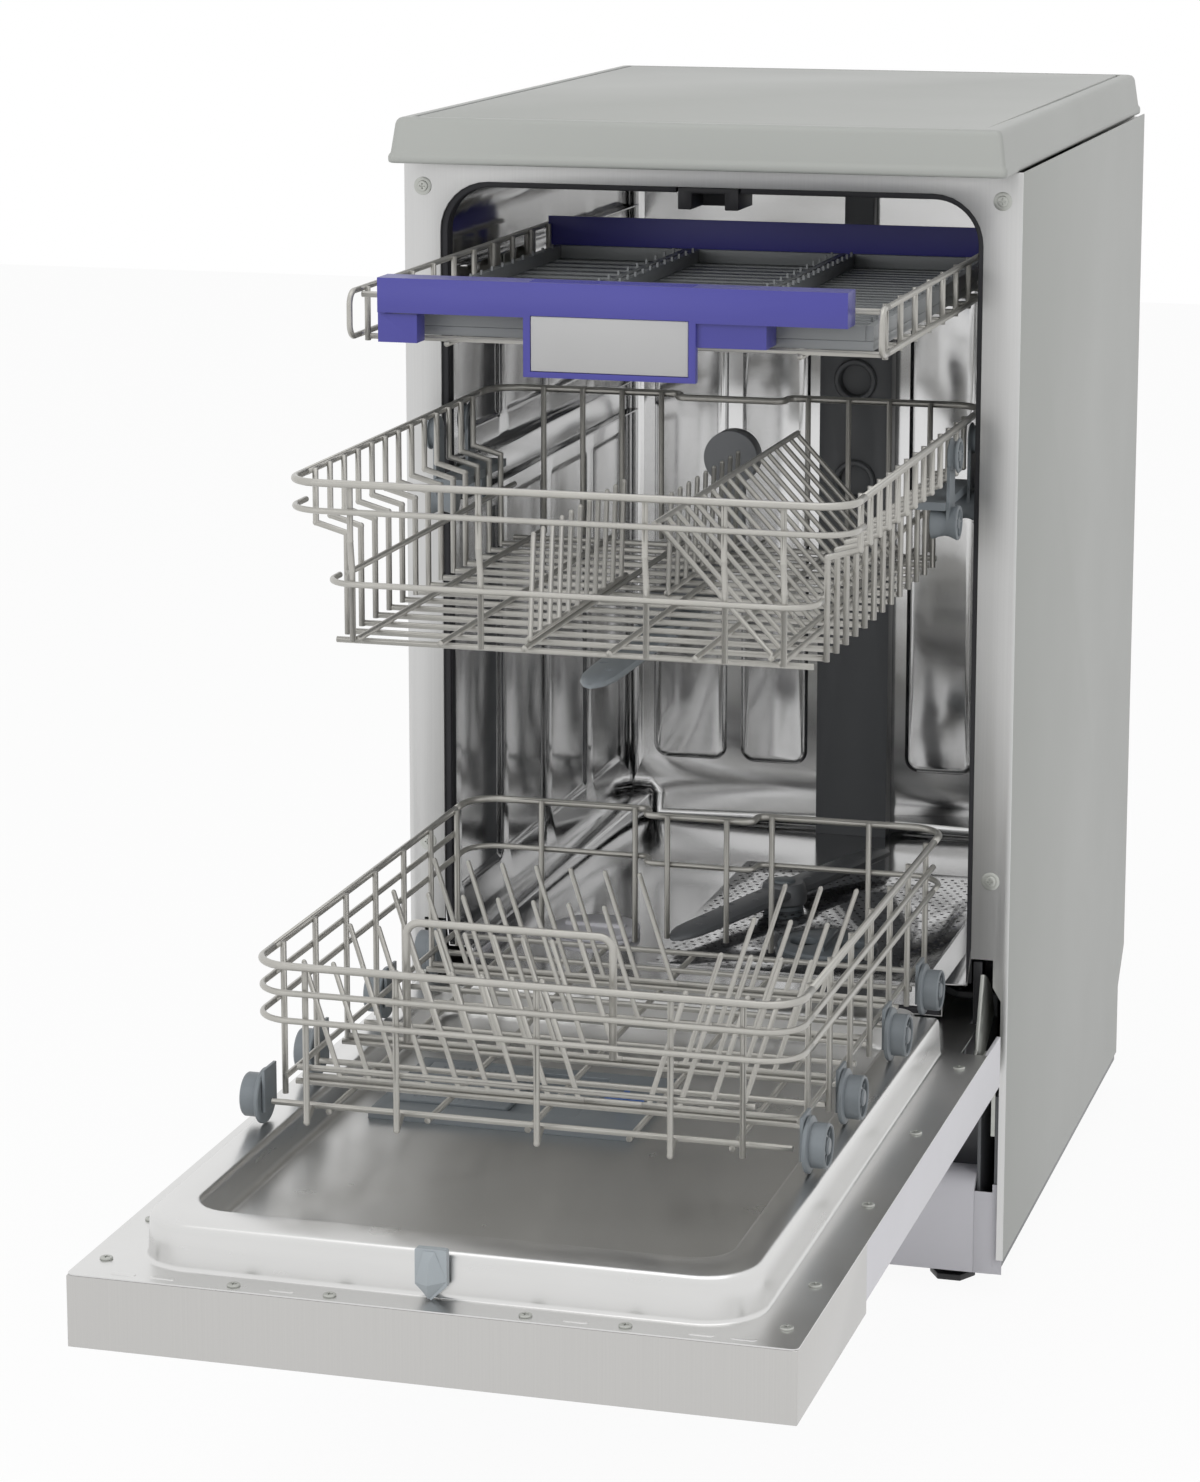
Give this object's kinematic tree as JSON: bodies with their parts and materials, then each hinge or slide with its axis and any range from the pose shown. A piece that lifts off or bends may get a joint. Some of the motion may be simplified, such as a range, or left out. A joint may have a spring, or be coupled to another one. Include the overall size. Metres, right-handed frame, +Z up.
{
  "type": "slimline dishwasher",
  "caption": "Slimline dishwasher with drop-down door, tub, two wheeled wire baskets, cutlery tray, spray arms, dispenser and control buttons, shown open.",
  "frame": {"origin": "on the floor, under the middle of the bounding box with the door open", "axes": "+Z up, the front faces -Y, +X to the right of someone facing the machine"},
  "size_m": [0.448, 1.2, 0.845],
  "materials": {
    "painted_grey": "satin painted sheet",
    "front_steel": "fine brushed",
    "tub_steel": "polished",
    "liner_steel": "satin",
    "wire_coat": "semi gloss coating",
    "dark_plastic": "fine grain",
    "grey_plastic": "smooth",
    "black_plastic": "smooth",
    "gasket_rubber": "matte",
    "violet_plastic": "satin",
    "pale_plastic": "satin",
    "plate_grey": "satin",
    "zinc_plate": "plated",
    "cast_grey": "rough",
    "board_green": "lacquered",
    "lens_black": "gloss",
    "blue_plastic": "smooth",
    "felt": "bitumen pad"
  },
  "bodies": {
    "cabinet": {"base_tray": "dark_plastic", "side_panel_left": "painted_grey", "side_panel_right": "painted_grey", "worktop": "painted_grey", "rear_panel": "front_steel", "front_frame": "front_steel", "tub": "tub_steel", "door_gasket": "gasket_rubber", "plinth": "pale_plastic", "feed_duct": "dark_plastic", "sump": "grey_plastic", "filter_plate": "tub_steel", "circulation_pump": "dark_plastic", "drain_pump": "black_plastic", "inlet_valve": "pale_plastic", "salt_container": "pale_plastic", "counterweight": "cast_grey", "feet": "black_plastic", "latch_receiver": "black_plastic", "frame_screws": "zinc_plate", "hinge_brackets": "zinc_plate", "hinge_covers": "black_plastic", "tub_rails": "front_steel", "door_springs": "zinc_plate"},
    "salt_cap": {"salt_cap": "pale_plastic"},
    "filter_cup": {"filter_cup": "grey_plastic"},
    "lower_spray_arm": {"lower_spray_arm": "dark_plastic"},
    "door": {"door_panel": "pale_plastic", "door_liner": "liner_steel", "control_panel": "front_steel", "control_board": "board_green", "display_window": "lens_black", "dispenser": "grey_plastic", "latch_hook": "grey_plastic", "hinge_arms": "zinc_plate", "door_screws": "zinc_plate", "door_insulation": "felt"},
    "button_power": {"button_power": "grey_plastic"},
    "button_program": {"button_program": "grey_plastic"},
    "button_start": {"button_start": "grey_plastic"},
    "dispenser_lid": {"dispenser_lid": "grey_plastic"},
    "rinse_cap": {"rinse_cap": "blue_plastic"},
    "basket_carrier": {"basket_carrier": "grey_plastic"},
    "front_wheels": {"front_wheels": "grey_plastic"},
    "lower_basket": {"lower_basket": "wire_coat", "lower_tines": "wire_coat", "wheel_mounts": "grey_plastic"},
    "second_wheels": {"second_wheels": "grey_plastic"},
    "third_wheels": {"third_wheels": "grey_plastic"},
    "rear_wheels": {"rear_wheels": "grey_plastic"},
    "upper_slides": {"upper_slides": "zinc_plate"},
    "upper_basket": {"upper_basket": "wire_coat", "upper_adjusters": "grey_plastic", "upper_feed": "dark_plastic"},
    "upper_spray_arm": {"upper_spray_arm": "grey_plastic"},
    "tray_slides": {"tray_slides": "zinc_plate"},
    "cutlery_tray": {"tray_frame": "wire_coat", "tray_inserts": "dark_plastic", "tray_handle": "violet_plastic", "tray_plate": "plate_grey"}
  },
  "joints": [
    {"name": "door_hinge", "type": "hinge", "parent": "cabinet", "child": "door", "pos_m": [0, 0.022, 0.18], "axis": [-1, 0, 0], "range_deg": [0, 90]},
    {"name": "basket_carrier_slide", "type": "slide", "parent": "door", "child": "basket_carrier", "axis": [0, 0.9986, 0.0533], "range_m": [0, 0.33227]},
    {"name": "lower_basket_level", "type": "hinge", "parent": "basket_carrier", "child": "lower_basket", "pos_m": [0, -0.38, 0.2503], "axis": [1, 0, 0], "range_deg": [0, 90.01]},
    {"name": "front_wheels_spin", "type": "hinge", "parent": "basket_carrier", "child": "front_wheels", "pos_m": [0, -0.38, 0.2503], "axis": [1, 0, 0], "continuous": true},
    {"name": "second_wheels_spin", "type": "hinge", "parent": "lower_basket", "child": "second_wheels", "pos_m": [0, -0.28, 0.2503], "axis": [1, 0, 0], "continuous": true},
    {"name": "third_wheels_spin", "type": "hinge", "parent": "lower_basket", "child": "third_wheels", "pos_m": [0, -0.14, 0.2503], "axis": [1, 0, 0], "continuous": true},
    {"name": "rear_wheels_spin", "type": "hinge", "parent": "lower_basket", "child": "rear_wheels", "pos_m": [0, -0.03, 0.2503], "axis": [1, 0, 0], "continuous": true},
    {"name": "upper_slides_run", "type": "slide", "parent": "cabinet", "child": "upper_slides", "axis": [0, 1, 0], "range_m": [0, 0.3951]},
    {"name": "upper_basket_slide", "type": "slide", "parent": "upper_slides", "child": "upper_basket", "axis": [0, -1, 0], "range_m": [-0.395, 0]},
    {"name": "upper_spray_arm_spin", "type": "hinge", "parent": "upper_basket", "child": "upper_spray_arm", "pos_m": [0, -0.09, 0.505], "axis": [0, 0, 1], "continuous": true},
    {"name": "tray_slides_run", "type": "slide", "parent": "cabinet", "child": "tray_slides", "axis": [0, 1, 0], "range_m": [0, 0.2851]},
    {"name": "cutlery_tray_slide", "type": "slide", "parent": "tray_slides", "child": "cutlery_tray", "axis": [0, -1, 0], "range_m": [-0.285, 0]},
    {"name": "lower_spray_arm_spin", "type": "hinge", "parent": "cabinet", "child": "lower_spray_arm", "pos_m": [0, 0.3, 0.222], "axis": [0, 0, 1], "continuous": true},
    {"name": "filter_cup_twist", "type": "hinge", "parent": "cabinet", "child": "filter_cup", "pos_m": [0.058, 0.2, 0.2], "axis": [0, 0, 1], "range_deg": [0, 90]},
    {"name": "salt_cap_twist", "type": "hinge", "parent": "cabinet", "child": "salt_cap", "pos_m": [-0.122, 0.19, 0.205], "axis": [0, 0, 1], "range_deg": [0, 180]},
    {"name": "dispenser_lid_slide", "type": "slide", "parent": "door", "child": "dispenser_lid", "axis": [1, 0, 0], "range_m": [0, 0.046]},
    {"name": "rinse_cap_twist", "type": "hinge", "parent": "door", "child": "rinse_cap", "pos_m": [0.018, -0.233, 0.212], "axis": [0, 0, 1], "range_deg": [0, 90]},
    {"name": "button_power_press", "type": "slide", "parent": "door", "child": "button_power", "axis": [0, 0, 1], "range_m": [0, 0.002], "stiffness_N_per_m": 600},
    {"name": "button_program_press", "type": "slide", "parent": "door", "child": "button_program", "axis": [0, 0, 1], "range_m": [0, 0.002], "stiffness_N_per_m": 600},
    {"name": "button_start_press", "type": "slide", "parent": "door", "child": "button_start", "axis": [0, 0, 1], "range_m": [0, 0.002], "stiffness_N_per_m": 600}
  ],
  "couplings": [
    {"joint": "basket_carrier_slide", "follows": "door_hinge", "m_per_rad": 0.21147},
    {"joint": "lower_basket_level", "follows": "door_hinge", "ratio": 1},
    {"joint": "upper_slides_run", "follows": "door_hinge", "m_per_rad": 0.25146},
    {"joint": "tray_slides_run", "follows": "door_hinge", "m_per_rad": 0.18144}
  ]
}
